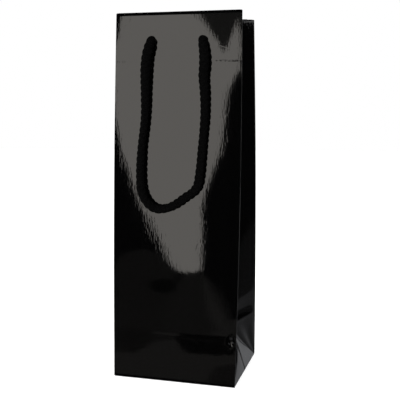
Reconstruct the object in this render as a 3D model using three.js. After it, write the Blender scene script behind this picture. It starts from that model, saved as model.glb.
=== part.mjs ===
// A tall paper bottle bag with rope handles, standing open with its mouth pinched.
// Units are millimetres, +Z is up, the front wall faces -Y and the origin is the middle of the base.
import * as THREE from 'three';

// Driving dimensions
const WIDTH = 125;         // across the front wall
const DEPTH = 100;         // front to back at the base
const HEIGHT = 360;        // along a wall, from base fold to top fold
const FRONT_LEAN = 15;     // how far the front wall's top leans in
const REAR_LEAN = 28;      // how far the rear wall's top leans in
const CREASE = 50;         // height of the crease that runs round the bag above the base
const APEX_INSET = 17;     // how far each side is pushed in at that crease
const MOUTH_INSET = 41;    // how far each side is pushed in at the mouth
const MOUTH_DIP = 3.5;     // how much lower the middle of a side stands at the mouth
const PAPER = 0.4;         // thickness of the laminated paper
const CARD = 1;            // thickness of the card behind each pair of holes
const BASE_CARD = 1.5;     // thickness of the loose-cut card glued in the base
const GAP = 0.3;           // space left between neighbouring pieces
const HEM = 47;            // depth of the turned-in top edge
const ROPE = 8;            // rope diameter
const HOLE_X = 25.5;       // each rope hole's distance from the wall's middle
const HOLE_HEIGHT = 333;   // height of the rope holes along a wall
const KNOT = 15;           // diameter of the knots inside the wall
const KNOT_LENGTH = 12;    // how far a knot reaches into the bag
const FLAP_GAP = 1.6;      // space between the base flaps and the side walls
const SIDE_FLAP = 48;      // how far each side flap reaches in over the base
const FLAP_SLOPE = 22;     // how much a side flap narrows towards its inner edge
const FACET_INSET = 1.5;   // space between a corner facet's edge and the creases round it
const TRIANGLE_INSET = 1.3; // the same round the base triangle

const HOLE = ROPE + 2 * GAP;
const ROPE_OFFSET = ROPE / 2 + 0.55;
const HEM_DEPTH_IN = PAPER + GAP + CARD + GAP;
const WALL_LAYERS = HEM_DEPTH_IN + PAPER;
const STIFFENER_HALF = WIDTH / 2 - 9;  // half the card's width
const HEM_HALF = WIDTH / 2 - 12;       // half the width of the wall's turned-in hem
const SIDE_TOP = HEIGHT - CREASE;      // length of a gusset above the crease

// How far a gusset sheet reaches, from 0 at the wall's edge to 1 at the side's centre crease.
const GUSSET_SPAN = [0.045, 0.992];
const GUSSET_HEM_SPAN = [0.17, 0.992];
const SEAM_SPAN = [0.08, 0.33];

const coated = new THREE.MeshStandardMaterial({ color: 0x0b0b0c, roughness: 0.12, metalness: 0 });
const inside = new THREE.MeshStandardMaterial({ color: 0x141415, roughness: 0.8, metalness: 0 });
const card = new THREE.MeshStandardMaterial({ color: 0x8c8070, roughness: 0.9, metalness: 0 });
const cotton = new THREE.MeshStandardMaterial({ color: 0x0d0d0e, roughness: 0.95, metalness: 0 });

const bag = new THREE.Group();

function addMesh(parent, name, geometry, material) {
  const mesh = new THREE.Mesh(geometry, material);
  mesh.name = name;
  parent.add(mesh);
  return mesh;
}

// A wall's own frame: X across, Z up along the wall, +Y into the bag, zero at the base fold.
function makeWallFrame(lean, turn) {
  const turned = new THREE.Group();
  turned.rotation.z = turn;
  const frame = new THREE.Group();
  frame.position.y = -DEPTH / 2;
  frame.rotation.x = -Math.asin(lean / HEIGHT);
  turned.add(frame);
  bag.add(turned);
  return frame;
}

// A flat sheet standing in a wall's frame, with the two rope holes through it.
function addWallSheet(frame, name, box, thickness, inward, material) {
  const shape = new THREE.Shape();
  shape.moveTo(-box.halfWidth, box.low);
  shape.lineTo(box.halfWidth, box.low);
  shape.lineTo(box.halfWidth, box.high);
  shape.lineTo(-box.halfWidth, box.high);
  shape.closePath();
  for (const x of [-HOLE_X, HOLE_X]) {
    const hole = new THREE.Path();
    hole.absarc(x, HOLE_HEIGHT, HOLE / 2, 0, 2 * Math.PI, true);
    shape.holes.push(hole);
  }
  const geometry = new THREE.ExtrudeGeometry(shape, { depth: thickness, bevelEnabled: false, curveSegments: 12 });
  geometry.rotateX(Math.PI / 2);
  geometry.translate(0, inward + thickness, 0);
  addMesh(frame, name, geometry, material);
}

// The panel, the card behind its holes and the turned-in hem over that card.
function addWall(frame, side) {
  const panel = { halfWidth: WIDTH / 2, low: 0.02, high: HEIGHT };
  const stiffener = { halfWidth: STIFFENER_HALF, low: HEIGHT - HEM + 2, high: HEIGHT - 1 };
  const hem = { halfWidth: HEM_HALF, low: HEIGHT - HEM, high: HEIGHT - 0.5 };
  addWallSheet(frame, `${side}_panel`, panel, PAPER, 0, coated);
  addWallSheet(frame, `${side}_stiffener_card`, stiffener, CARD, PAPER + GAP, card);
  addWallSheet(frame, `${side}_turned_in_hem`, hem, PAPER, HEM_DEPTH_IN, coated);
}

// A knot drawn up behind the wall, with the short length of rope that fills the hole.
function addKnot(frame, name, x) {
  const profile = [];
  const knotStart = WALL_LAYERS + GAP;
  const stub = ROPE / 2 - 0.1;
  profile.push(new THREE.Vector2(0, 0));
  profile.push(new THREE.Vector2(stub, 0));
  profile.push(new THREE.Vector2(stub, knotStart));
  const steps = 8;
  for (let i = 1; i < steps; i += 1) {
    const angle = Math.PI * (0.18 + 0.82 * i / steps);
    const radius = KNOT / 2 * Math.sin(angle);
    const along = knotStart + KNOT_LENGTH / 2 * (1 - Math.cos(angle));
    profile.push(new THREE.Vector2(Math.max(radius, 0.6), along));
  }
  profile.push(new THREE.Vector2(0, knotStart + KNOT_LENGTH));
  const mesh = addMesh(frame, name, new THREE.LatheGeometry(profile, 16), cotton);
  mesh.position.set(x, 0, HOLE_HEIGHT);
}

// One handle: a rope hanging in a loop outside the wall. Its route is given as across, up pairs.
function addRope(frame, name, route) {
  const points = route.map(([x, z]) => new THREE.Vector3(x, -ROPE_OFFSET, z));
  const path = new THREE.CatmullRomCurve3(points, false, 'centripetal');
  const section = new THREE.Shape();
  const sides = 8;
  for (let i = 0; i <= sides; i += 1) {
    const angle = 2 * Math.PI * i / sides;
    const place = [ROPE / 2 * Math.cos(angle), ROPE / 2 * Math.sin(angle)];
    if (i === 0) section.moveTo(...place);
    else section.lineTo(...place);
  }
  const geometry = new THREE.ExtrudeGeometry(section, { steps: 48, extrudePath: path, bevelEnabled: false });
  addMesh(frame, name, geometry, cotton);
}

// The point of a wall at one side edge, at a height measured along the wall.
function wallEdge(lean, facing, side, height) {
  const tilt = Math.asin(lean / HEIGHT);
  const y = facing * (DEPTH / 2 - height * Math.sin(tilt));
  return new THREE.Vector3(side * WIDTH / 2, y, height * Math.cos(tilt));
}

// The side's centre crease at the lower crease and at the mouth.
function centreCrease(side) {
  const apexRise = Math.sqrt(CREASE * CREASE - APEX_INSET * APEX_INSET);
  const pull = (FRONT_LEAN - REAR_LEAN) / 2;
  const apex = new THREE.Vector3(side * (WIDTH / 2 - APEX_INSET), pull * CREASE / HEIGHT, apexRise);
  const mouth = new THREE.Vector3(side * (WIDTH / 2 - MOUTH_INSET), pull, HEIGHT - MOUTH_DIP);
  return { apex, mouth };
}

// A thin sheet over the ruled surface between a wall's edge and the side's centre crease.
// across and up say which part of that surface it covers, depth how far inside it lies.
function addFold(name, lean, facing, side, across, up, depth, material) {
  const { apex, mouth } = centreCrease(side);
  const edgeLow = wallEdge(lean, facing, side, CREASE);
  const edgeHigh = wallEdge(lean, facing, side, HEIGHT);
  const surface = (u, v) => {
    const edge = edgeLow.clone().lerp(edgeHigh, v);
    return edge.lerp(apex.clone().lerp(mouth, v), u);
  };
  const step = 0.01;
  const inward = (u, v) => {
    const alongU = surface(u + step, v).sub(surface(u, v));
    const alongV = surface(u, v + step).sub(surface(u, v));
    const normal = alongU.cross(alongV).normalize();
    return normal.x * side > 0 ? normal.negate() : normal;
  };
  // The surface twists, so it is cut finely enough for its two faces to stay apart.
  const columns = Math.max(2, Math.round(6 * (across[1] - across[0])));
  const rows = Math.max(3, Math.round(20 * (up[1] - up[0])));
  const geometry = new THREE.BoxGeometry(1, 1, 1, columns, 1, rows);
  const place = geometry.attributes.position;
  for (let i = 0; i < place.count; i += 1) {
    const u = THREE.MathUtils.lerp(across[0], across[1], 0.5 - facing * side * place.getX(i));
    const v = THREE.MathUtils.lerp(up[0], up[1], place.getZ(i) + 0.5);
    const layer = depth + PAPER * (place.getY(i) + 0.5);
    const point = surface(u, v).addScaledVector(inward(u, v), layer);
    place.setXYZ(i, point.x, point.y, point.z);
  }
  addMesh(bag, name, geometry, material);
}

// A flat three-cornered sheet, drawn in from its edges, with its thickness on the bag's inside.
function addTriangle(name, corners, drawIn, side, material) {
  const [a, b, c] = corners;
  const alongX = b.clone().sub(a).normalize();
  const normal = alongX.clone().cross(c.clone().sub(a)).normalize();
  if (normal.x * side > 0) normal.negate();
  const alongY = normal.clone().cross(alongX);
  const lengths = [b.distanceTo(c), c.distanceTo(a), a.distanceTo(b)];
  const total = lengths[0] + lengths[1] + lengths[2];
  const centre = new THREE.Vector3();
  corners.forEach((corner, i) => centre.addScaledVector(corner, lengths[i] / total));
  const area = b.clone().sub(a).cross(c.clone().sub(a)).length() / 2;
  const keep = 1 - drawIn * total / (2 * area);
  const flat = corners.map((corner) => {
    const point = corner.clone().sub(centre).multiplyScalar(keep);
    return new THREE.Vector2(point.dot(alongX), point.dot(alongY));
  });
  const geometry = new THREE.ExtrudeGeometry(new THREE.Shape(flat), { depth: PAPER, bevelEnabled: false });
  geometry.applyMatrix4(new THREE.Matrix4().makeBasis(alongX, alongY, normal));
  geometry.translate(centre.x, centre.y, centre.z);
  addMesh(bag, name, geometry, material);
}

// The base triangle and, above it on each wall's side, the facet and the half gusset with its hem.
function addSide(side, sideName) {
  const { apex } = centreCrease(side);
  const foot = [-1, 1].map((facing) => new THREE.Vector3(side * WIDTH / 2, facing * DEPTH / 2, 0));
  addTriangle(`${sideName}_base_triangle`, [foot[0], foot[1], apex], TRIANGLE_INSET, side, coated);
  const walls = [['front', FRONT_LEAN, -1], ['rear', REAR_LEAN, 1]];
  const hemLow = 1 - HEM / SIDE_TOP;
  for (const [wall, lean, facing] of walls) {
    const corner = foot[facing < 0 ? 0 : 1];
    const shoulder = wallEdge(lean, facing, side, CREASE);
    addTriangle(`${sideName}_${wall}_corner_facet`, [corner, shoulder, apex], FACET_INSET, side, coated);
    const gusset = `${sideName}_${wall}_gusset`;
    addFold(gusset, lean, facing, side, GUSSET_SPAN, [0.004, 1], 0, coated);
    addFold(`${gusset}_hem`, lean, facing, side, GUSSET_HEM_SPAN, [hemLow, 0.998], PAPER + GAP, coated);
  }
}

// The strip that closes the tube of paper, glued inside the left rear gusset.
function addSeam() {
  const seamTop = 1 - (HEM + 6) / SIDE_TOP;
  addFold('glued_seam_flap', REAR_LEAN, 1, -1, SEAM_SPAN, [0.02, seamTop], PAPER + GAP, inside);
}

// A base flap: a level sheet whose outline is given as corner points.
function addFlap(name, outline, level, thickness, material) {
  const shape = new THREE.Shape(outline.map(([x, y]) => new THREE.Vector2(x, y)));
  const geometry = new THREE.ExtrudeGeometry(shape, { depth: thickness, bevelEnabled: false });
  geometry.translate(0, 0, level);
  addMesh(bag, name, geometry, material);
}

// The bottom is folded from four flaps, and a card is glued on them inside.
function addBase() {
  const x = WIDTH / 2 - FLAP_GAP;
  const y = DEPTH / 2 - PAPER - GAP - 0.2;
  const layer = PAPER + GAP;
  addFlap('front_bottom_flap', [[-x, -y], [x, -y], [x, y], [-x, y]], 0, PAPER, coated);
  addFlap('rear_bottom_flap', [[-x, -y * 0.3], [x, -y * 0.3], [x, y], [-x, y]], layer, PAPER, coated);
  for (const [name, side] of [['left_bottom_flap', -1], ['right_bottom_flap', 1]]) {
    const outer = side * (x - 0.6);
    const inner = side * (x - SIDE_FLAP);
    const outline = [[outer, -y], [inner, -y + FLAP_SLOPE], [inner, y - FLAP_SLOPE], [outer, y]];
    addFlap(name, side > 0 ? outline.reverse() : outline, 2 * layer, PAPER, inside);
  }
  const cardX = x - 1.4;
  const cardY = y - 0.6;
  const cardOutline = [[-cardX, -cardY], [cardX, -cardY], [cardX, cardY], [-cardX, cardY]];
  addFlap('base_card', cardOutline, 3 * layer, BASE_CARD, card);
}

// The front rope hangs down the wall in a loose, slightly crooked loop.
const frontRoute = [
  [-HOLE_X, HOLE_HEIGHT], [-27.4, 327], [-30, 318], [-31, 308], [-31.2, 297], [-31, 283], [-30.7, 268],
  [-31, 257], [-34, 229], [-34.8, 203], [-33.3, 188.5], [-29.5, 180], [-24, 174.2], [-18, 171.5],
  [-11, 171.7], [-4, 173.8], [2, 177], [10.8, 183.4], [18.6, 189], [22.8, 195], [24.6, 204],
  [26.8, 231], [28.7, 258], [28.9, 270], [28.3, 285], [26.6, 298], [27.2, 309], [27.2, 320], [HOLE_X, HOLE_HEIGHT],
];

// The rear rope hangs the same way, a little more evenly.
const rearRoute = [
  [-HOLE_X, HOLE_HEIGHT], [-27, 324], [-29.5, 308], [-30.5, 290], [-30.5, 270], [-31.5, 250], [-33, 228],
  [-32.5, 208], [-30, 193], [-25, 182], [-17, 174.5], [-7, 171.2], [3, 171.6], [12.5, 175.5], [20.5, 183],
  [26, 193.5], [29.5, 208], [31, 228], [30.5, 250], [30.5, 270], [30.5, 290], [29, 308], [27, 324],
  [HOLE_X, HOLE_HEIGHT],
];

const frontFrame = makeWallFrame(FRONT_LEAN, 0);
const rearFrame = makeWallFrame(REAR_LEAN, Math.PI);
for (const [frame, side, route] of [[frontFrame, 'front', frontRoute], [rearFrame, 'rear', rearRoute]]) {
  addWall(frame, side);
  addKnot(frame, `${side}_knot_a`, -HOLE_X);
  addKnot(frame, `${side}_knot_b`, HOLE_X);
  addRope(frame, `${side}_rope_handle`, route);
}
addSide(-1, 'left');
addSide(1, 'right');
addSeam();
addBase();

export default bag;
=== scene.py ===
"""A tall gloss-black paper bottle bag with two rope handles, made around its CAD frame."""

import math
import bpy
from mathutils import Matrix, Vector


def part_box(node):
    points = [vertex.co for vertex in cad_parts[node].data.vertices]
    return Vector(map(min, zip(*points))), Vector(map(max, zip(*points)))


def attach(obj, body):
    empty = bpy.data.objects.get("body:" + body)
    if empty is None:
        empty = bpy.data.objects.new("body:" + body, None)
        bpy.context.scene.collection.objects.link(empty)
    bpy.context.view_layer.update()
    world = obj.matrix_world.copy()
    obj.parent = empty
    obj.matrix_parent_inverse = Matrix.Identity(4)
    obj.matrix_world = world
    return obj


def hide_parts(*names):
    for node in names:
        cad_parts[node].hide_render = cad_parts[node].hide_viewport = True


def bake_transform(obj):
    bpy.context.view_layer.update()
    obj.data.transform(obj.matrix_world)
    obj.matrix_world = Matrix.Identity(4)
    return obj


bl_info = {
    "name": "Bottle gift bag",
    "version": (1, 0, 0),
    "blender": (4, 5, 0),
    "location": "View3D > Sidebar > Gift bag",
    "description": "Builds a laminated paper bottle bag with rope handles, and its studio",
    "category": "Object",
}

import bpy
import numpy as np
from bpy.props import FloatProperty, FloatVectorProperty, PointerProperty
from mathutils import Euler, Vector

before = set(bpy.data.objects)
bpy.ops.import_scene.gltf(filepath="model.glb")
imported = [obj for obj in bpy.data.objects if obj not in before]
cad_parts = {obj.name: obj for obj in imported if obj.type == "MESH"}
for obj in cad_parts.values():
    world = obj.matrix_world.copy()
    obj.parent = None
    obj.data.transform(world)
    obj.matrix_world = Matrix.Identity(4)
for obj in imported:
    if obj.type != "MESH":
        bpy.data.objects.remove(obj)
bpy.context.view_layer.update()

MM = 0.001

# ---------------------------------------------------------------- sizes read from the frame

PANEL_LOW, PANEL_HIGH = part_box("front_panel")
REAR_LOW, REAR_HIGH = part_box("rear_panel")
HALF_WIDTH = PANEL_HIGH.x
HALF_DEPTH = -PANEL_LOW.y
FRAME_PAPER = 0.4 * MM
FRONT_LEAN = HALF_DEPTH + PANEL_HIGH.y - FRAME_PAPER
REAR_LEAN = HALF_DEPTH - REAR_LOW.y - FRAME_PAPER

# ---------------------------------------------------------------- sizes of the sheet's folds

WALL_HEIGHT = 360 * MM
HEM_LOW = 313 * MM
HEM_FOLD = 1.2 * MM
SIDE_HEM_FOLD = 0.55 * MM
HOLE_X = 25.5 * MM
HOLE_HEIGHT = 333 * MM
HOLE_RADIUS = 4 * MM
CREASE_HEIGHT = 50 * MM
APEX_INSET = 17 * MM
APEX_DIP = 3 * MM
MOUTH_INSET = 41 * MM
MOUTH_DIP = 3.5 * MM
EDGE_ROUND = 0.22 * MM
DENT_INSET = 5 * MM
DENT_HEIGHT = 45.5 * MM
BULGE = 0.024


def wall_tilt(lean):
    """The angle that a wall leans in from upright."""
    return math.asin(lean / WALL_HEIGHT)


def wall_point(facing, lean, x, up, inward):
    """A point of a wall: x across, up along the wall, inward through it. facing is -1 at the front."""
    tilt = wall_tilt(lean)
    y = facing * (HALF_DEPTH - inward * math.cos(tilt) - up * math.sin(tilt))
    z = up * math.cos(tilt) - inward * math.sin(tilt)
    x, y, z = np.broadcast_arrays(x, y, z)
    return np.stack([x, y, z], -1)


def bulged(x, up):
    """x moved out in proportion to its distance from the middle, most of all at mid height."""
    share = np.abs(x) / HALF_WIDTH
    return x * (1 + BULGE * share**2 * np.sin(np.pi * np.clip(up / WALL_HEIGHT, 0, 1)))


# ---------------------------------------------------------------- mesh helpers


def grid_quads(rows, columns):
    """Corner numbers of the quads of a grid stored row by row."""
    first = (np.arange(rows - 1)[:, None] * columns + np.arange(columns - 1)[None, :]).ravel()
    return np.stack([first, first + 1, first + columns + 1, first + columns], -1)


def add_piece(name, points, faces, materials, crease_angle=None, face_slots=None, uv=None):
    """A smooth mesh object at the origin, sharp where it turns by more than the crease angle."""
    mesh = bpy.data.meshes.new(name)
    mesh.from_pydata(points.tolist(), [], faces)
    for material in materials:
        mesh.materials.append(material)
    mesh.polygons.foreach_set("use_smooth", np.ones(len(mesh.polygons), bool))
    if face_slots is not None:
        mesh.polygons.foreach_set("material_index", face_slots.astype(np.int32))
    if uv is not None:
        layer = mesh.uv_layers.new(name="UVMap")
        corners = np.empty(len(mesh.loops), np.int32)
        mesh.loops.foreach_get("vertex_index", corners)
        layer.data.foreach_set("uv", uv[corners].astype(np.float32).ravel())
    if crease_angle is not None:
        mesh.validate()
        mesh.set_sharp_from_angle(angle=math.radians(crease_angle))
    mesh.update()
    piece = bpy.data.objects.new(name, mesh)
    bpy.context.scene.collection.objects.link(piece)
    return piece


def add_sheet(name, outer, through, materials, crease_angle=35.0):
    """A closed sheet: the outer grid, the same grid moved by through, and a rim that joins them.

    The outer faces take the first material and the inner faces and rim the second.
    """
    rows, columns = outer.shape[:2]
    count = rows * columns
    points = np.concatenate([outer.reshape(-1, 3), (outer + through).reshape(-1, 3)])
    face = grid_quads(rows, columns)
    number = np.arange(count).reshape(rows, columns)
    rim = np.concatenate([number[0, :], number[1:, -1], number[-1, -2::-1], number[-2:0:-1, 0]])
    after = np.roll(rim, -1)
    edge = np.stack([after, rim, rim + count, after + count], -1)
    quads = np.concatenate([face, face[:, ::-1] + count, edge])
    along = outer[1:, :-1] - outer[:-1, :-1]
    across = outer[:-1, 1:] - outer[:-1, :-1]
    away = np.cross(across, along)
    if (away * through[:-1, :-1]).sum() > 0:
        quads = quads[:, ::-1]
    slots = np.concatenate([np.zeros(len(face)), np.ones(len(face)), np.zeros(len(edge))])
    return add_piece(name, points, quads.tolist(), materials, crease_angle, slots)


def run_length(path):
    """Distance from the path's start to each of its points."""
    return np.concatenate([[0], np.cumsum(np.linalg.norm(np.diff(path, axis=0), axis=1))])


def add_tube(name, path, radius, around, materials):
    """A closed tube along a path. radius holds each ring's radii, ring by ring.

    Each ring is the circle of its radii in the plane square to the path, in a frame that is
    carried along the path without twisting; the two ends are closed by a middle point.
    """
    tangent = np.gradient(path, axis=0)
    tangent /= np.linalg.norm(tangent, axis=1, keepdims=True)
    side = np.empty_like(path)
    start = np.cross(tangent[0], (0.0, 1.0, 0.0))
    if np.linalg.norm(start) < 0.1:
        start = np.cross(tangent[0], (1.0, 0.0, 0.0))
    side[0] = start / np.linalg.norm(start)
    for i in range(1, len(path)):
        carried = side[i - 1] - tangent[i] * (side[i - 1] @ tangent[i])
        side[i] = carried / np.linalg.norm(carried)
    other = np.cross(tangent, side)
    angle = np.linspace(0, 2 * np.pi, around, endpoint=False)
    ring = side[:, None] * np.cos(angle)[None, :, None] + other[:, None] * np.sin(angle)[None, :, None]
    points = (path[:, None] + ring * radius[..., None]).reshape(-1, 3)
    rows = len(path)
    number = np.arange(rows * around).reshape(rows, around)
    turned = np.roll(number, -1, axis=1)
    quads = np.stack([number[:-1], turned[:-1], turned[1:], number[1:]], -1).reshape(-1, 4)
    total = len(points)
    caps = []
    for row, middle, flip in ((0, total, True), (rows - 1, total + 1, False)):
        fan = np.stack([number[row], turned[row], np.full(around, middle)], -1)
        caps.append(fan[:, ::-1] if flip else fan)
    points = np.concatenate([points, path[:1], path[-1:]])
    faces = quads.tolist() + np.concatenate(caps).tolist()
    length = run_length(path)
    u = np.tile(np.arange(around) / around, rows)
    v = np.repeat(length, around)
    uv = np.concatenate([np.stack([u, v], -1), [[0.5, 0.0], [0.5, length[-1]]]])
    return add_piece(name, points, faces, materials, uv=uv)


def smooth_step(value, low, high):
    """0 below low, 1 above high and an S-shaped rise between them."""
    t = np.clip((value - low) / (high - low), 0, 1)
    return t * t * (3 - 2 * t)


def bump(value, middle, width):
    """A bell-shaped bump of height 1 round middle."""
    return np.exp(-(((value - middle) / width) ** 2))


# ---------------------------------------------------------------- materials


class Nodes:
    """The node tree of a material or world, with short calls to add and join nodes."""

    def __init__(self, owner):
        owner.use_nodes = True
        self.owner = owner
        self.tree = owner.node_tree
        self.shader = self.tree.nodes.get("Principled BSDF")

    def add(self, kind, **values):
        node = self.tree.nodes.new(kind)
        for key, value in values.items():
            if key in node.inputs:
                node.inputs[key].default_value = value
            else:
                setattr(node, key, value)
        return node

    def join(self, source, out, target, into):
        self.tree.links.new(source.outputs[out], target.inputs[into])

    def mapped(self, scale, coordinate="Object"):
        """Coordinates stretched by scale."""
        place = self.add("ShaderNodeTexCoord")
        mapping = self.add("ShaderNodeMapping")
        mapping.inputs["Scale"].default_value = scale
        self.join(place, coordinate, mapping, "Vector")
        return mapping

    def noise(self, scale, detail=2.0, roughness=0.5, coordinate="Object"):
        """A noise texture over stretched coordinates."""
        mapping = self.mapped(scale, coordinate)
        node = self.add("ShaderNodeTexNoise", Scale=1.0, Detail=detail, Roughness=roughness)
        self.join(mapping, "Vector", node, "Vector")
        return node

    def ramp(self, source, out, low, high, dark, light):
        """source run through a two-colour ramp between low and high."""
        node = self.add("ShaderNodeValToRGB")
        node.color_ramp.elements[0].position = low
        node.color_ramp.elements[1].position = high
        node.color_ramp.elements[0].color = (*dark, 1)
        node.color_ramp.elements[1].color = (*light, 1)
        self.join(source, out, node, "Fac")
        return node

    def span(self, source, out, low, high, at_low, at_high):
        """source brought from the range low..high to the range at_low..at_high."""
        node = self.add("ShaderNodeMapRange")
        for key, value in (("From Min", low), ("From Max", high), ("To Min", at_low), ("To Max", at_high)):
            node.inputs[key].default_value = value
        self.join(source, out, node, "Value")
        return node

    def times(self, first, first_out, second, second_out):
        """Two values multiplied."""
        node = self.add("ShaderNodeMath", operation="MULTIPLY")
        self.tree.links.new(first.outputs[first_out], node.inputs[0])
        self.tree.links.new(second.outputs[second_out], node.inputs[1])
        return node

    def line(self, height, width, half_length):
        """1 along a level line at a height, fading to 0 at width above and below it and past its ends."""
        place = self.add("ShaderNodeTexCoord")
        split = self.add("ShaderNodeSeparateXYZ")
        self.join(place, "Object", split, "Vector")
        from_line = self.add("ShaderNodeMath", operation="SUBTRACT")
        from_line.inputs[1].default_value = height
        self.tree.links.new(split.outputs["Z"], from_line.inputs[0])
        reach = []
        for source, out, low, high in (
            (from_line, "Value", 0.0, width), (split, "X", half_length - 0.004, half_length + 0.002),
        ):
            size = self.add("ShaderNodeMath", operation="ABSOLUTE")
            self.tree.links.new(source.outputs[out], size.inputs[0])
            reach.append(self.span(size, "Value", low, high, 1.0, 0.0))
        return self.times(reach[0], "Result", reach[1], "Result")

    def bumps(self, layers):
        """Bump nodes one after another: pairs of a height output and its depth in metres."""
        before = None
        for source, out, depth in layers:
            node = self.add("ShaderNodeBump", Strength=1.0, Distance=depth)
            self.join(source, out, node, "Height")
            if before:
                self.join(before, "Normal", node, "Normal")
            before = node
        self.join(before, "Normal", self.shader, "Normal")

    def principled(self, **values):
        for key, value in values.items():
            self.shader.inputs[key.replace("_", " ")].default_value = value


def gloss_paper():
    """Black paper under a gloss film.

    It has a fine upright grain whose strength comes and goes, slow waves, the turned-in edge
    and a tight line between the holes telling through, a few hairline scuffs and dusty specks.
    """
    n = Nodes(bpy.data.materials.new("gloss_laminated_paper"))
    bag = bpy.context.scene.gift_bag
    grain = n.noise((760, 760, 150), 1.2, 0.45)
    patchy = n.noise((26, 26, 14), 2.0, 0.5)
    patches = n.span(patchy, "Fac", 0.35, 0.62, 0.35, 1.0)
    streaks = n.times(grain, "Fac", patches, "Result")
    fleck = n.noise((900, 900, 900), 2.0, 0.5)
    wave = n.noise((30, 30, 16), 2.0, 0.45)
    broken = n.span(n.noise((500, 500, 500), 1.0, 0.5), "Fac", 0.4, 0.62, 0.1, 1.0)
    edge = n.times(n.line(0.3127, 0.0009, HALF_WIDTH), "Value", broken, "Result")
    holes = n.line(0.3325, 0.0007, HOLE_X)
    cells = n.add("ShaderNodeTexVoronoi", feature="DISTANCE_TO_EDGE", Scale=1.0)
    n.join(n.mapped((34, 34, 19)), "Vector", cells, "Vector")
    thin = n.span(cells, "Distance", 0.0, 0.012, 1.0, 0.0)
    some = n.span(n.noise((48, 48, 48), 1.0, 0.5), "Fac", 0.56, 0.66, 0.0, 1.0)
    hairline = n.times(thin, "Result", some, "Result")
    n.bumps([
        (wave, "Fac", bag.wave_depth),
        (streaks, "Value", bag.grain_depth),
        (fleck, "Fac", bag.grain_depth * 0.12),
        (edge, "Value", 0.00004),
        (holes, "Value", 0.000015),
        (hairline, "Value", 0.000006),
    ])
    tone = tuple(bag.paper_colour)
    worn = tuple(c * 1.8 for c in tone)
    colour = n.ramp(fleck, "Fac", 0.35, 0.7, tone, worn)
    n.join(colour, "Color", n.shader, "Base Color")
    scuff = n.noise((260, 260, 40), 5.0, 0.7)
    rough = n.span(scuff, "Fac", 0.5, 0.8, bag.paper_roughness, bag.paper_roughness + 0.03)
    n.join(rough, "Result", n.shader, "Roughness")
    n.principled(IOR=1.5)
    return n.owner


def plain_paper():
    """The unlaminated back of the sheet: matt, fibrous and a little uneven."""
    n = Nodes(bpy.data.materials.new("uncoated_paper_back"))
    fibre = n.noise((1500, 1500, 500), 4.0, 0.65)
    cloud = n.noise((60, 60, 60), 3.0, 0.5)
    n.bumps([(fibre, "Fac", 0.00006)])
    colour = n.ramp(cloud, "Fac", 0.3, 0.75, (0.016, 0.016, 0.017), (0.028, 0.027, 0.028))
    n.join(colour, "Color", n.shader, "Base Color")
    rough = n.ramp(fibre, "Fac", 0.3, 0.7, (0.7,) * 3, (0.9,) * 3)
    n.join(rough, "Color", n.shader, "Roughness")
    return n.owner


def grey_card():
    """Recycled grey board with darker flecks."""
    n = Nodes(bpy.data.materials.new("grey_board"))
    fleck = n.noise((700, 700, 700), 4.0, 0.7)
    cloud = n.noise((90, 90, 90), 3.0, 0.5)
    colour = n.ramp(cloud, "Fac", 0.25, 0.8, (0.22, 0.2, 0.175), (0.36, 0.33, 0.29))
    dark = n.ramp(fleck, "Fac", 0.3, 0.45, (0.45, 0.43, 0.4), (1, 1, 1))
    mix = n.add("ShaderNodeMix", data_type="RGBA", blend_type="MULTIPLY")
    mix.inputs["Factor"].default_value = 1.0
    n.tree.links.new(colour.outputs["Color"], mix.inputs["A"])
    n.tree.links.new(dark.outputs["Color"], mix.inputs["B"])
    n.tree.links.new(mix.outputs["Result"], n.shader.inputs["Base Color"])
    n.bumps([(fleck, "Fac", 0.00008)])
    n.principled(Roughness=0.9)
    return n.owner


def rope_yarn():
    """Dull black yarn: fibres run along each strand, so the pattern follows the rope's own map."""
    n = Nodes(bpy.data.materials.new("black_rope_yarn"))
    bag = bpy.context.scene.gift_bag
    fibre = n.noise((38, 1400, 1), 3.0, 0.65, "UV")
    fuzz = n.noise((2600, 2600, 2600), 3.0, 0.7)
    tone = tuple(bag.rope_colour)
    colour = n.ramp(fuzz, "Fac", 0.3, 0.75, tuple(c * 0.5 for c in tone), tuple(c * 1.7 for c in tone))
    n.join(colour, "Color", n.shader, "Base Color")
    n.bumps([(fibre, "Fac", 0.00012), (fuzz, "Fac", 0.00012)])
    n.principled(Roughness=0.92, Sheen_Weight=0.002, Sheen_Roughness=0.5)
    n.shader.inputs["Specular IOR Level"].default_value = 0.12
    return n.owner


MATERIALS = {}


def material(name):
    """One shared material of each kind, made when it is first asked for."""
    makers = {"gloss": gloss_paper, "plain": plain_paper, "card": grey_card, "rope": rope_yarn}
    if name not in MATERIALS:
        MATERIALS[name] = makers[name]()
    return MATERIALS[name]


# ---------------------------------------------------------------- walls


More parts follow.
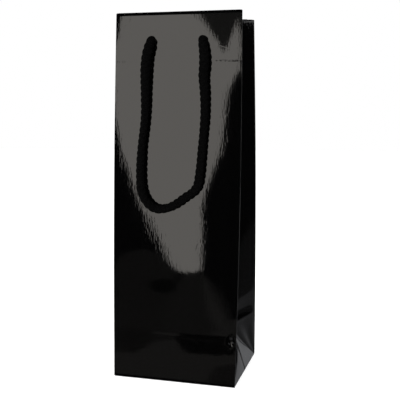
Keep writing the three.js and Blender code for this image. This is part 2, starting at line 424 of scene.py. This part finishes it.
def hem_path(radius, rows, fold_low=0.0005, crowd=None):
    """The sheet's run in one wall, as inward and upward distances and how far it is past the fold.

    It starts with a small round fold under the base, climbs the wall, turns over in a half
    circle of the given radius and comes down inside as far as the hem reaches. crowd is a
    height and a reach round it where extra rows are added.
    """
    low = np.linspace(np.pi / 2, 0, 4)[:-1]
    start = np.stack([fold_low - fold_low * np.cos(low), fold_low - fold_low * np.sin(low)], -1)
    heights = np.linspace(fold_low, WALL_HEIGHT - radius, rows)
    if crowd:
        extra = crowd[0] + np.linspace(-crowd[1], crowd[1], 25)
        heights = np.sort(np.concatenate([heights, extra]))
    climb = np.stack([np.zeros(len(heights)), heights], -1)
    turn = np.linspace(0, np.pi, 9)[1:]
    top = np.stack([radius - radius * np.cos(turn), WALL_HEIGHT - radius + radius * np.sin(turn)], -1)
    down = np.linspace(WALL_HEIGHT - radius, HEM_LOW, max(4, rows // 10))[1:]
    back = np.stack([np.full(len(down), 2 * radius), down], -1)
    path = np.concatenate([start, climb, top, back])
    passed = np.concatenate([np.zeros(len(start) + len(heights)), turn / np.pi, np.ones(len(back))])
    step = np.gradient(path, axis=0)
    step /= np.linalg.norm(step, axis=1, keepdims=True)
    inward = np.stack([step[:, 1], -step[:, 0]], -1)
    return path, inward, passed


def wall_waves(x, up, passed, front):
    """How far the sheet stands out of its plane: slow waves, the card's edge and the base crease."""
    flat = 1 - passed
    bell = np.cos(np.pi * x / (2 * HALF_WIDTH)) ** 0.5
    slow = 0.00010 * np.sin(x / 0.021 + up / 0.050) * np.sin(up / 0.037 + 0.6)
    card_edge = 0.00006 * smooth_step(up, HEM_LOW - 0.0012, HEM_LOW + 0.0012)
    crease = 0.00005 * bump(up, CREASE_HEIGHT, 0.0025)
    dent = -0.0014 * bump(x, HALF_WIDTH - DENT_INSET, 0.0022) * bump(up, DENT_HEIGHT, 0.0034)
    return flat * (bell * slow + card_edge + crease + (dent if front else 0))


def add_wall(facing, lean, name, body, side):
    """One broad wall with its turned-in hem, as one sheet of paper, with its two rope holes cut."""
    bag = bpy.context.scene.gift_bag
    path, inward, passed = hem_path(HEM_FOLD, 150, crowd=(DENT_HEIGHT, 0.0065))
    rounding = EDGE_ROUND
    middle = np.linspace(-HALF_WIDTH + 1.5 * rounding, HALF_WIDTH - 1.5 * rounding, 61)
    near_dent = HALF_WIDTH - np.arange(2.0, 8.5, 0.45) * MM
    edge = HALF_WIDTH - rounding * np.array([1.2, 1.0, 0.75, 0.5, 0.3, 0.14, 0.04, 0.0])
    x = np.sort(np.concatenate([-edge, middle, near_dent, edge]))
    past_round = np.clip(np.abs(x) - (HALF_WIDTH - rounding), 0, rounding)
    edge_in = rounding - np.sqrt(rounding**2 - past_round**2)
    narrow = 1 - 0.12 * smooth_step(passed, 0.15, 0.7)
    across = x[None, :] * narrow[:, None]
    up = np.broadcast_to(path[:, 1:2], across.shape)
    wave = wall_waves(across, up, passed[:, None], facing < 0)
    depth = path[:, :1] + edge_in[None, :] * (1 - passed[:, None]) - wave
    across = bulged(across, up)
    outer = wall_point(facing, lean, across, up, depth)
    deeper = wall_point(
        facing, lean, across,
        up + bag.paper_thickness * inward[:, 1:2], depth + bag.paper_thickness * inward[:, :1],
    )
    sheet = add_sheet(name, outer, deeper - outer, [material("gloss"), material("plain")])
    cut_rope_holes(sheet, facing, lean)
    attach(sheet, body)
    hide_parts(f"{side}_panel", f"{side}_turned_in_hem")
    return sheet


def cut_rope_holes(sheet, facing, lean):
    """Cuts two round holes through every layer of a wall, and keeps the result as plain mesh."""
    for x in (-HOLE_X, HOLE_X):
        along = np.linspace(-2 * MM, 5 * MM, 2)
        path = wall_point(facing, lean, x, HOLE_HEIGHT, along)
        cutter = add_tube("hole_cutter", path, np.full((2, 32), HOLE_RADIUS), 32, [])
        cut = sheet.modifiers.new("hole", "BOOLEAN")
        cut.operation = "DIFFERENCE"
        cut.solver = "EXACT"
        cut.object = cutter
        bpy.context.view_layer.update()
        graph = bpy.context.evaluated_depsgraph_get()
        result = bpy.data.meshes.new_from_object(sheet.evaluated_get(graph))
        sheet.modifiers.clear()
        sheet.data = result
        bpy.data.objects.remove(cutter)
    sheet.data.set_sharp_from_angle(angle=math.radians(35))


# ---------------------------------------------------------------- sides


def side_lines(side, facing, lean, up):
    """The two lines that bound half a side, as functions of height: the corner and the middle crease.

    Below the crease height the inner line is the slanting crease from the corner's foot to the
    apex; above it, it is the straight centre crease from the apex to the mouth.
    """
    pull = (FRONT_LEAN - REAR_LEAN) / 2
    corner = wall_point(facing, lean, bulged(side * HALF_WIDTH, up), up, 0.0)
    foot = np.array([side * HALF_WIDTH, facing * HALF_DEPTH, 0.0])
    apex_x = side * (HALF_WIDTH - APEX_INSET)
    apex = np.array([apex_x, pull * CREASE_HEIGHT / WALL_HEIGHT, CREASE_HEIGHT - APEX_DIP])
    mouth = np.array([side * (HALF_WIDTH - MOUTH_INSET), pull, WALL_HEIGHT - MOUTH_DIP])
    low = (up / CREASE_HEIGHT)[:, None]
    high = ((up - CREASE_HEIGHT) / (WALL_HEIGHT - CREASE_HEIGHT))[:, None]
    sag = np.stack([0 * up, 0 * up, 0.0016 * np.sin(np.pi * np.clip(up / CREASE_HEIGHT, 0, 1))], -1)
    middle = np.where(low < 1, foot + (apex - foot) * low - sag, apex + (mouth - apex) * high)
    return corner, middle


def surface_normals(grid, side):
    """Unit vectors square to a grid surface, pointing to the bag's inside."""
    normal = np.cross(np.gradient(grid, axis=0), np.gradient(grid, axis=1))
    normal /= np.maximum(np.linalg.norm(normal, axis=-1, keepdims=True), 1e-12)
    return np.where(normal[..., :1] * side > 0, -normal, normal)


def add_half_side(side, facing, lean, name):
    """Half of one pushed-in side: the corner facet, the tall gusset half and its turned-in hem.

    Each row of the sheet is the straight line from the wall's corner to the side's middle crease
    at its height, bowed a little, and the rows climb, turn over at the mouth and come back down.
    """
    bag = bpy.context.scene.gift_bag
    path, turned, passed = hem_path(SIDE_HEM_FOLD, 190, 0.0004)
    keep = path[:, 1] > 0.0009
    path, turned, passed = path[keep], turned[keep], passed[keep]
    columns = np.concatenate([np.linspace(0, 0.06, 4)[:-1], np.linspace(0.06, 1, 34)])
    corner, middle = side_lines(side, facing, lean, path[:, 1])
    start = 0.012 + 0.165 * smooth_step(passed, 0.1, 0.6)
    across = start[:, None] + (1 - start[:, None]) * columns[None, :]
    grid = corner[:, None] * (1 - across[..., None]) + middle[:, None] * across[..., None]
    normal = surface_normals(grid, side)
    up = path[:, 1][:, None]
    bow = np.sin(np.pi * across) * smooth_step(up, 0.055, 0.14)
    wave = 0.0011 * bow * np.sin(up / 0.048 + facing) + 0.0006 * bow
    pucker = 0.0010 * np.sin(np.pi * across) * bump(up, CREASE_HEIGHT + 0.010, 0.009)
    crease = -0.0005 * bump(up, CREASE_HEIGHT, 0.0016) * np.sin(np.pi * across)
    facet = -0.00035 * np.sin(3 * np.pi * across) * bump(up, 0.028, 0.016)
    depth = path[:, :1] + wave + pucker + crease + facet
    outer = grid + normal * depth[..., None]
    outer[..., 2] -= 0.002 * np.sin(np.pi * across) ** 0.7 * smooth_step(up, 0.25, WALL_HEIGHT)
    rise = np.array([0.0, 0.0, 1.0]) * turned[:, 1][:, None, None]
    through = bag.paper_thickness * (normal * turned[:, :1][..., None] + rise)
    sheet = add_sheet(name, outer, through, [material("gloss"), material("plain")], 28)
    half = name.replace("_side_fold", "")
    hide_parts(f"{half}_gusset", f"{half}_gusset_hem", f"{half}_corner_facet")
    corner_ends, middle_ends = side_lines(side, facing, lean, np.array([CREASE_HEIGHT, WALL_HEIGHT]))
    square = np.cross(corner_ends[1] - corner_ends[0], middle_ends[1] - middle_ends[0])
    square /= np.linalg.norm(square)
    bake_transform(sheet)
    return sheet


def add_base_triangle(side, name):
    """The triangle between the two slanting creases, leaning in from the base fold to the apex."""
    bag = bpy.context.scene.gift_bag
    up = np.linspace(0.0006, 0.992 * CREASE_HEIGHT, 40)
    front = side_lines(side, -1, FRONT_LEAN, up)[1]
    rear = side_lines(side, 1, REAR_LEAN, up)[1]
    spread = np.linspace(-1, 1, 61)
    across = 0.5 + 0.5 * np.sign(spread) * np.abs(spread) ** 1.8
    grid = front[:, None] * (1 - across[None, :, None]) + rear[:, None] * across[None, :, None]
    normal = surface_normals(grid, side)
    rows = (up / CREASE_HEIGHT)[:, None]
    width = 2 * HALF_DEPTH * (1 - rows)
    off = (across[None, :] - 0.5) * width
    fold = -0.00035 * bump(off, 0.0, 0.0011) + 0.0002 * bump(off, 0.0012, 0.0005)
    bulge = -0.0011 * np.sin(np.pi * across[None, :]) * np.sin(np.pi * rows)
    outer = grid + normal * (fold + bulge)[..., None]
    through = normal * bag.paper_thickness
    sheet = add_sheet(name, outer, through, [material("gloss"), material("plain")], 28)
    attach(sheet, "base")
    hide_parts(name.replace("_sheet", ""))
    return sheet


# ---------------------------------------------------------------- bottom


def add_bottom():
    """The outer base flap: a level sheet out to the four base folds, with a glued step across it."""
    bag = bpy.context.scene.gift_bag
    x = np.linspace(-HALF_WIDTH + 0.0004, HALF_WIDTH - 0.0004, 50)
    y = np.linspace(-HALF_DEPTH + 0.0011, HALF_DEPTH - 0.0011, 90)
    across, along = np.meshgrid(x, y)
    level = 0.00028 * smooth_step(along, 0.0145, 0.0165) * smooth_step(np.abs(across), 0.0, 0.001)
    outer = np.stack([across, along, 0.0001 + level], -1)
    through = np.zeros_like(outer)
    through[..., 2] = bag.paper_thickness
    sheet = add_sheet("folded_bottom", outer, through, [material("gloss"), material("plain")])
    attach(sheet, "base")
    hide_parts("front_bottom_flap")


# ---------------------------------------------------------------- ropes

# Each rope's route on its wall, across and up in millimetres, seen from outside that wall.
FRONT_ROUTE = (
    (-26.9, 327), (-29.2, 318), (-30.2, 308), (-30.5, 297), (-30.5, 283), (-30.5, 268),
    (-31, 257), (-34, 229), (-34.8, 203), (-33.3, 188.5), (-29.5, 180), (-24, 174.2), (-18, 171.5),
    (-11, 171.7), (-4, 173.8), (2, 177), (10.8, 183.4), (18.6, 189), (22.8, 195), (24.6, 204),
    (26.8, 231), (28.7, 258), (28.9, 270), (28.3, 285), (27.2, 298), (27.9, 309), (27.6, 320),
)
REAR_ROUTE = (
    (-27, 324), (-29.5, 308), (-30.5, 290), (-30.5, 270), (-31.5, 250), (-33, 228),
    (-32.5, 208), (-30, 193), (-25, 182), (-17, 174.5), (-7, 171.2), (3, 171.6), (12.5, 175.5), (20.5, 183),
    (26, 193.5), (29.5, 208), (31, 228), (30.5, 250), (30.5, 270), (30.5, 290), (29, 308), (27, 324),
)
ROPE_DIAMETER = 8 * MM
STRANDS = 3
LAY = 17 * MM


def spline(points, step):
    """Points every step along the smooth cubic curve through the given points."""
    p = np.concatenate([[2 * points[0] - points[1]], points, [2 * points[-1] - points[-2]]])
    knots = np.concatenate([[0], np.cumsum(np.sqrt(np.linalg.norm(np.diff(p, axis=0), axis=1)))])
    t = np.concatenate([np.linspace(knots[i], knots[i + 1], 40)[:-1] for i in range(1, len(p) - 2)])
    t = np.append(t, knots[-2])
    i = np.clip(np.searchsorted(knots, t, side="right") - 1, 1, len(p) - 3)
    k = [knots[i + j][:, None] for j in (-1, 0, 1, 2)]
    q = [p[i + j] for j in (-1, 0, 1, 2)]
    t = t[:, None]
    a = [(q[j] * (k[j + 1] - t) + q[j + 1] * (t - k[j])) / (k[j + 1] - k[j]) for j in range(3)]
    b = [(a[j] * (k[j + 2] - t) + a[j + 1] * (t - k[j])) / (k[j + 2] - k[j]) for j in range(2)]
    curve = (b[0] * (k[2] - t) + b[1] * (t - k[1])) / (k[2] - k[1])
    run = np.concatenate([[0], np.cumsum(np.linalg.norm(np.diff(curve, axis=0), axis=1))])
    even = np.linspace(0, run[-1], int(run[-1] / step))
    return np.stack([np.interp(even, run, curve[:, j]) for j in range(3)], -1)


def slack(up):
    """How much thicker than its nominal size the rope lies at a height: loose near its holes."""
    return 1 + 0.15 * bump(up, 0.311, 0.024) - 0.09 * bump(up, 0.243, 0.026) + 0.03 * bump(up, 0.18, 0.02)


def rope_radii(along, around):
    """A laid rope's radii: round strands side by side, winding once about the rope in each lay.

    The radius is the nominal one less a groove between strands, whose shape is a power of the
    cosine of the strand angle, with a slow unevenness along the rope.
    """
    angle = np.linspace(0, 2 * np.pi, around, endpoint=False)
    phase = STRANDS * (angle[None, :] - 2 * np.pi * along[:, None] / LAY) / 2
    lobe = np.abs(np.cos(phase)) ** 0.75
    lumps = np.sin(along / 0.00071 + 3 * np.sin(along / 0.0023)) * np.sin(along / 0.0031)
    uneven = 1 + 0.02 * np.sin(along / 0.0071) * np.sin(along / 0.0113 + 1) + 0.012 * lumps
    return ROPE_DIAMETER / 2 * (1.05 - 0.25 * (1 - lobe)) * uneven[:, None]


def add_rope(facing, lean, route, name, node):
    """One rope handle: out of one hole, down the wall in a loop and into the other hole."""
    turn = -facing
    inside = [(-25.5, 333.0, 0.6), (-25.5, 333.0, -1.4), (-25.8, 331.2, -3.7)]
    outside = [(x, up, -ROPE_DIAMETER / MM / 2 * slack(up * MM) - 0.5) for x, up in route]
    back = [(25.8, 331.2, -3.7), (25.5, 333.0, -1.4), (25.5, 333.0, 0.6)]
    stops = np.array(inside + outside + back) * MM
    points = wall_point(facing, lean, turn * stops[:, 0], stops[:, 1], stops[:, 2])
    path = spline(points, 0.5 * MM)
    run = run_length(path)
    near_end = np.minimum(run, run[-1] - run)
    thick = slack(path[:, 2]) * (0.94 + 0.06 * smooth_step(near_end, 0.004, 0.012))
    radius = rope_radii(run, 36) * thick[:, None]
    rope = add_tube(name, path, radius, 36, [material("rope")])
    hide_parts(node)
    hole = wall_point(facing, lean, turn * -HOLE_X, HOLE_HEIGHT, 0.0)
    pivot = Vector(wall_point(facing, lean, 0.0, HOLE_HEIGHT, -1.0 * MM))
    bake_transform(rope)
    return rope


def add_knot(facing, lean, x, name, wall, node):
    """The overhand knot behind a hole: a rope lead that turns into a three-lobed knot and a cut end.

    The knot is the curve sin t + 2 sin 2t, cos t - 2 cos 2t, -sin 3t, scaled and opened at one place.
    """
    t = np.linspace(0.42, 2 * np.pi - 0.42, 150)
    size = 1.45 * MM
    lobes = np.stack([
        size * (np.sin(t) + 2 * np.sin(2 * t)),
        size * (np.cos(t) - 2 * np.cos(2 * t)),
        0.0088 - 1.25 * size * np.sin(3 * t),
    ], -1)
    lead = np.array([[0.0, 0.0, 0.0004], [0.0, 0.0, 0.0026]])
    tail = lobes[-1] + np.array([[0.0, 0.0015, 0.003], [0.0005, 0.003, 0.0066]])
    curve = spline(np.concatenate([lead, lobes[::6], tail]), 0.5 * MM)
    path = wall_point(facing, lean, x + curve[:, 0], HOLE_HEIGHT + curve[:, 1], curve[:, 2])
    run = run_length(path)
    radius = rope_radii(run, 32) * (0.97 - 0.27 * smooth_step(run, 0.0022, 0.0048))[:, None]
    knot = add_tube(name, path, radius, 32, [material("rope")])
    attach(knot, wall)
    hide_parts(node)
    return knot


# ---------------------------------------------------------------- studio


def add_card(name, place, outline, strength, colour=(1, 1, 1)):
    """A flat glowing card that only shows in reflections. outline holds points in its own plane."""
    points = [place @ Vector((x, 0.0, z)) for x, z in outline]
    mesh = bpy.data.meshes.new(name)
    mesh.from_pydata(points, [], [list(range(len(points)))])
    glow = bpy.data.materials.new(name)
    glow.use_nodes = True
    glow.node_tree.nodes.clear()
    light = glow.node_tree.nodes.new("ShaderNodeEmission")
    light.inputs["Color"].default_value = (*colour, 1)
    light.inputs["Strength"].default_value = strength
    out = glow.node_tree.nodes.new("ShaderNodeOutputMaterial")
    glow.node_tree.links.new(light.outputs[0], out.inputs["Surface"])
    mesh.materials.append(glow)
    card = bpy.data.objects.new(name, mesh)
    card.visible_camera = False
    card.visible_diffuse = False
    card.visible_shadow = False
    bpy.context.scene.collection.objects.link(card)
    return card


def area_light(name, place, aim, size, power):
    """A soft square lamp that lights matt surfaces and isn't mirrored."""
    lamp = bpy.data.lights.new(name, "AREA")
    lamp.size = size
    lamp.energy = power
    thing = bpy.data.objects.new(name, lamp)
    thing.location = place
    thing.rotation_euler = (Vector(aim) - Vector(place)).to_track_quat("-Z", "Y").to_euler()
    thing.visible_glossy = False
    bpy.context.scene.collection.objects.link(thing)


def add_camera():
    """A camera a little above the bag's middle and to the right of its front."""
    lens = bpy.data.cameras.new("camera")
    lens.sensor_width = 36
    lens.lens = 59.4
    lens.shift_x = -0.0668
    lens.shift_y = 0.0093
    lens.clip_end = 50
    camera = bpy.data.objects.new("camera", lens)
    camera.location = (0.196, -0.649, 0.253)
    turn = Euler((math.radians(90 - 6.81), 0, math.radians(13.44))).to_matrix()
    roll = Euler((0, 0, math.radians(0.53))).to_matrix()
    camera.rotation_euler = (turn @ roll).to_euler()
    bpy.context.scene.collection.objects.link(camera)
    bpy.context.scene.camera = camera


class GiftBagSettings(bpy.types.PropertyGroup):
    """Sizes and colours of the bag's looks."""

    paper_thickness: FloatProperty(
        name="Paper", description="Thickness of the laminated paper", default=0.0004, unit="LENGTH"
    )
    paper_colour: FloatVectorProperty(
        name="Paper colour", description="Colour under the gloss film", default=(0.0004, 0.0004, 0.00043),
        subtype="COLOR", size=3,
    )
    paper_roughness: FloatProperty(
        name="Film roughness", description="Roughness of the gloss film", default=0.03, subtype="FACTOR"
    )
    grain_depth: FloatProperty(
        name="Grain", description="Depth of the upright paper grain", default=0.000018, unit="LENGTH"
    )
    wave_depth: FloatProperty(
        name="Waves", description="Depth of the slow waves in the film", default=0.0001, unit="LENGTH"
    )
    rope_colour: FloatVectorProperty(
        name="Rope colour", description="Colour of the rope yarn", default=(0.0006, 0.0006, 0.00063),
        subtype="COLOR", size=3,
    )


class GIFTBAG_OT_walls(bpy.types.Operator):
    """Make the front and rear walls with their turned-in hems"""

    bl_idname = "giftbag.walls"
    bl_label = "Walls"

    def execute(self, context):
        add_wall(-1, FRONT_LEAN, "front_wall_sheet", "front_wall", "front")
        add_wall(1, REAR_LEAN, "rear_wall_sheet", "rear_wall", "rear")
        return {"FINISHED"}


class GIFTBAG_OT_sides(bpy.types.Operator):
    """Make the four half sides and the two base triangles"""

    bl_idname = "giftbag.sides"
    bl_label = "Sides"

    def execute(self, context):
        for side, word in ((-1, "left"), (1, "right")):
            add_half_side(side, -1, FRONT_LEAN, f"{word}_front_side_fold")
            add_half_side(side, 1, REAR_LEAN, f"{word}_rear_side_fold")
            add_base_triangle(side, f"{word}_base_triangle_sheet")
        return {"FINISHED"}


class GIFTBAG_OT_bottom(bpy.types.Operator):
    """Make the folded bottom and finish the flaps and cards that stay as they are"""

    bl_idname = "giftbag.bottom"
    bl_label = "Bottom and cards"

    def execute(self, context):
        add_bottom()
        finishes = {
            "rear_bottom_flap": "gloss", "left_bottom_flap": "plain", "right_bottom_flap": "plain",
            "glued_seam_flap": "plain", "base_card": "card",
            "front_stiffener_card": "card", "rear_stiffener_card": "card",
        }
        for node, finish in finishes.items():
            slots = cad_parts[node].data.materials
            slots.clear()
            slots.append(material(finish))
        return {"FINISHED"}


class GIFTBAG_OT_ropes(bpy.types.Operator):
    """Make the two rope handles and their four knots"""

    bl_idname = "giftbag.ropes"
    bl_label = "Ropes and knots"

    def execute(self, context):
        walls = (
            (-1, FRONT_LEAN, FRONT_ROUTE, "front"),
            (1, REAR_LEAN, REAR_ROUTE, "rear"),
        )
        for facing, lean, route, side in walls:
            wall, handle = f"{side}_wall", f"{side}_handle"
            add_rope(facing, lean, route, f"{side}_rope", f"{side}_rope_handle")
            for letter, x in (("a", -HOLE_X), ("b", HOLE_X)):
                place = -facing * x
                add_knot(facing, lean, place, f"{side}_tied_knot_{letter}", wall, f"{side}_knot_{letter}")
        return {"FINISHED"}


class GIFTBAG_OT_stage(bpy.types.Operator):
    """Make the pale floor, the surroundings, the soft lights and the reflection cards"""

    bl_idname = "giftbag.stage"
    bl_label = "Stage"

    def execute(self, context):
        add_floor()
        add_surroundings()
        add_reflection_cards()
        area_light("key_light", (-0.9, -1.3, 1.5), (0, 0, 0.15), 0.9, 22)
        area_light("fill_light", (1.4, -0.6, 1.0), (0, 0, 0.2), 0.9, 9)
        area_light("back_light", (0.2, 1.6, 1.4), (0, 0, 0.2), 1.0, 14)
        context.scene.view_settings.view_transform = "Standard"
        return {"FINISHED"}


def add_floor():
    """A wide pale disc that the bag stands on; it isn't mirrored in the gloss."""
    around = np.linspace(0, 2 * np.pi, 96, endpoint=False)
    points = np.stack([6 * np.cos(around), 6 * np.sin(around), np.full(96, -0.0003)], -1)
    mesh = bpy.data.meshes.new("floor")
    mesh.from_pydata(points.tolist(), [], [list(range(96))])
    n = Nodes(bpy.data.materials.new("pale_floor"))
    n.principled(Roughness=0.9)
    n.shader.inputs["Base Color"].default_value = (0.9, 0.9, 0.9, 1)
    n.shader.inputs["Emission Color"].default_value = (1, 1, 1, 1)
    n.shader.inputs["Emission Strength"].default_value = 0.3
    n.shader.inputs["Specular IOR Level"].default_value = 0.1
    mesh.materials.append(n.owner)
    floor = bpy.data.objects.new("floor", mesh)
    floor.visible_glossy = False
    bpy.context.scene.collection.objects.link(floor)


def add_surroundings():
    """White to the camera and to matt surfaces, and a dim room to anything mirrored in the gloss.

    The mirrored room is nearly black above. Below, it is dark in front, dim at the sides and
    pale behind, as a table is at a low angle, and each edge stands higher towards the back.
    Straight down it is pale again, as the floor is.
    """
    world = bpy.data.worlds.new("studio")
    bpy.context.scene.world = world
    n = Nodes(world)
    n.tree.nodes.clear()
    link = n.tree.links.new
    direction = n.add("ShaderNodeTexCoord")
    split = n.add("ShaderNodeSeparateXYZ")
    link(direction.outputs["Generated"], split.inputs[0])
    back = n.span(split, "Y", -1.0, 1.0, 0.0, 1.0)
    table = n.add("ShaderNodeValToRGB")
    n.join(back, "Result", table, "Fac")
    stops = ((0.1, 0.008), (0.38, 0.008), (0.54, 0.02), (0.66, 0.055), (0.8, 0.115), (0.96, 0.41))
    while len(table.color_ramp.elements) < len(stops):
        table.color_ramp.elements.new(0.5)
    for element, (place, value) in zip(table.color_ramp.elements, stops):
        element.position = place
        element.color = (value * 0.97, value * 0.985, value * 1.03, 1)
    edges = []
    for rise, low, high in ((-0.4, -0.48, -0.465), (-0.12, -0.238, -0.22)):
        lowered = n.add("ShaderNodeMath", operation="MULTIPLY_ADD")
        lowered.inputs[1].default_value = rise
        link(split.outputs["Y"], lowered.inputs[0])
        link(split.outputs["Z"], lowered.inputs[2])
        edges.append(n.span(lowered, "Value", low, high, 1.0, 0.0))
    aside = n.add("ShaderNodeMath", operation="ABSOLUTE")
    link(split.outputs["X"], aside.inputs[0])
    wide = n.span(aside, "Value", 0.14, 0.32, 0.16, 1.0)
    behind = n.span(split, "Y", 0.5, 0.8, 1.0, 0.0)
    kept = n.add("ShaderNodeMath", operation="MAXIMUM")
    link(wide.outputs["Result"], kept.inputs[0])
    link(behind.outputs["Result"], kept.inputs[1])
    share = n.times(edges[0], "Result", kept, "Value")
    steep = n.span(split, "Z", -0.85, -0.45, 0.4, 0.0)
    room = n.add("ShaderNodeMix", data_type="RGBA")
    dark = n.tree.nodes.new("ShaderNodeRGB")
    dark.outputs[0].default_value = (0.004, 0.004, 0.0045, 1)
    link(share.outputs["Value"], room.inputs["Factor"])
    link(dark.outputs[0], room.inputs["A"])
    link(table.outputs["Color"], room.inputs["B"])
    ray = n.add("ShaderNodeLightPath")
    mirrored = n.add("ShaderNodeBackground")
    under = n.add("ShaderNodeMix", data_type="RGBA", blend_type="ADD")
    under.inputs["Factor"].default_value = 1.0
    dim = n.span(split, "Y", -0.1, 0.0, 0.0, 0.035)
    haze = n.times(edges[1], "Result", dim, "Result")
    brighter = n.add("ShaderNodeMath", operation="MAXIMUM")
    link(steep.outputs["Result"], brighter.inputs[0])
    link(haze.outputs["Value"], brighter.inputs[1])
    link(room.outputs["Result"], under.inputs["A"])
    link(brighter.outputs["Value"], under.inputs["B"])
    link(under.outputs["Result"], mirrored.inputs["Color"])
    white = n.add("ShaderNodeBackground")
    white.inputs["Color"].default_value = (1, 1, 1, 1)
    choose = n.add("ShaderNodeMixShader")
    link(ray.outputs["Is Glossy Ray"], choose.inputs["Fac"])
    link(white.outputs[0], choose.inputs[1])
    link(mirrored.outputs[0], choose.inputs[2])
    out = n.add("ShaderNodeOutputWorld")
    link(choose.outputs[0], out.inputs["Surface"])


def drawn(*curves):
    """A card's outline in metres: curves through points in centimetres, with corners where they join.

    A curve of two points is a straight line, and a longer one is smooth.
    """
    outline = []
    for curve in curves:
        flat = np.array([(across, up, 0.0) for across, up in curve]) / 100
        smooth = spline(flat, 0.006) if len(curve) > 2 else flat
        outline += [(across, up) for across, up, _ in smooth.tolist()]
    return outline


# The cards in front of the bag, across and up in centimetres. The softbox is wide at the top and
# narrows to a rounded tip, with a dark wedge let into its top right. The low cards are a table's
# front, the shade under it, a cone with one lighter side and a dark band across the cone's foot.
SOFTBOX = (
    ((-38, 58), (-40, 34), (-34, 18), (-28, 6), (-24, 0.5), (-20, -0.5)),
    ((-18.5, 0), (-18, 14), (-14, 28), (-13, 39), (-10.5, 44)),
    ((-11.5, 54), (-14, 47)),
    ((-14, 47), (-22.5, 58)),
)
TABLE = (((-38, -19), (-33, -19)), ((-27, -14), (-9, -9.5)), ((-9, -26), (-39, -26)))
UNDERSIDE = (((-40, -7), (-22.5, -6.5)), ((-22.5, -15), (-29, -16.5)), ((-33, -19), (-40, -19)))
CONE = (((-27, -14), (-25, -6.5), (-21, -0.5), (-16.5, -1), (-12, -7), (-10, -14)),)
STRIP = (((-17, -1), (-12.5, -7.5), (-9.5, -13.5)), ((-9.5, -13.5), (-14, -10), (-16.5, -3)))
BAND = (((-23.5, -14), (-9.5, -13.5)), ((-9.5, -16.5), (-20.5, -17), (-22.5, -15.5)))


def ellipse(across, up, wide, high):
    """The outline of an ellipse about a middle: cosine across and sine up."""
    turn = np.linspace(0, 2 * np.pi, 40, endpoint=False)
    return tuple(zip(across + wide * np.cos(turn), up + high * np.sin(turn)))


def standing(place, turn):
    """The place of an upright card: its middle and its turn about the upright, in degrees."""
    spot = Euler((0, 0, math.radians(turn))).to_matrix().to_4x4()
    spot.translation = Vector(place)
    return spot


def add_reflection_cards():
    """The big soft card and the dim low ones in front, and tall soft cards at the sides and back.

    The front cards stand a hand's breadth apart, the dim shapes before the plain ones.
    """
    warm = (1, 0.957, 0.9)
    for name, y, outline, strength in (
        ("gap_card", -0.81, drawn(((-23, 42), (-9, 42)), ((-9, 60), (-23, 60))), 0.13),
        ("softbox_card", -0.80, drawn(*SOFTBOX), 2.45),
        ("table_card", -0.80, drawn(*TABLE), 0.14),
        ("table_corner_card", -0.79, ellipse(-0.09, -0.235, 0.065, 0.045), 0.07),
        ("shade_card", -0.795, drawn(*UNDERSIDE), 0.07),
        ("round_card", -0.79, ellipse(-0.31, -0.025, 0.075, 0.07), 0.065),
        ("cone_card", -0.78, drawn(*CONE), 0.08),
        ("cone_side_card", -0.77, drawn(*STRIP), 0.15),
        ("dark_spot_card", -0.78, ellipse(-0.26, -0.03, 0.03, 0.015), 0.012),
        ("dark_low_card", -0.78, ellipse(-0.325, -0.155, 0.035, 0.025), 0.05),
        ("dark_band_card", -0.77, drawn(*BAND), 0.008),
    ):
        add_card(name, standing((0, y, 0), 0), outline, strength, warm)
    tall = ((-0.15, -0.25), (0.10, -0.25), (0.16, 0.10), (0.16, 0.75), (-0.16, 0.75))
    slim = ((-0.06, -0.10), (0.06, -0.10), (0.06, 0.65), (-0.06, 0.65))
    wedge = ((-0.02, -0.12), (0.03, -0.12), (0.13, 0.30), (0.15, 0.80), (-0.15, 0.80), (-0.13, 0.20))
    for name, place, turn, outline, strength in (
        ("left_card", (-1.1, 0.15, 0), 90, tall, 1.1),
        ("front_right_card", (0.85, -0.85, 0), 45, wedge, 1.4),
        ("front_left_card", (-0.95, -0.75, 0), -45, wedge, 1.4),
        ("side_front_card", (0.34, -1.0, 0), 0, slim, 1.0),
        ("side_back_card", (0.31, 1.1, 0), 0, slim, 0.9),
        ("back_card", (-0.04, 1.1, 0), 0, wedge, 1.6),
        ("back_right_card", (0.8, 0.9, 0), -45, slim, 1.0),
        ("back_left_card", (-0.85, 0.9, 0), 45, tall, 1.0),
    ):
        add_card(name, standing(place, turn), outline, strength)


class GIFTBAG_PT_panel(bpy.types.Panel):
    """Lists the steps and the settings"""

    bl_label = "Gift bag"
    bl_idname = "GIFTBAG_PT_panel"
    bl_space_type = "VIEW_3D"
    bl_region_type = "UI"
    bl_category = "Gift bag"

    def draw(self, context):
        bag = context.scene.gift_bag
        for name in GiftBagSettings.__annotations__:
            self.layout.prop(bag, name)
        for step in STEPS:
            self.layout.operator(step.bl_idname)


STEPS = (GIFTBAG_OT_ropes, GIFTBAG_OT_walls, GIFTBAG_OT_sides, GIFTBAG_OT_bottom, GIFTBAG_OT_stage)
CLASSES = (GiftBagSettings, *STEPS, GIFTBAG_PT_panel)


def register():
    for kind in CLASSES:
        bpy.utils.register_class(kind)
    bpy.types.Scene.gift_bag = PointerProperty(type=GiftBagSettings)


def unregister():
    del bpy.types.Scene.gift_bag
    for kind in reversed(CLASSES):
        bpy.utils.unregister_class(kind)


def main():
    """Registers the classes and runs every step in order."""
    register()
    add_camera()
    bpy.ops.giftbag.ropes()
    bpy.ops.giftbag.walls()
    bpy.ops.giftbag.sides()
    bpy.ops.giftbag.bottom()
    bpy.ops.giftbag.stage()


if __name__ == "__main__":
    main()
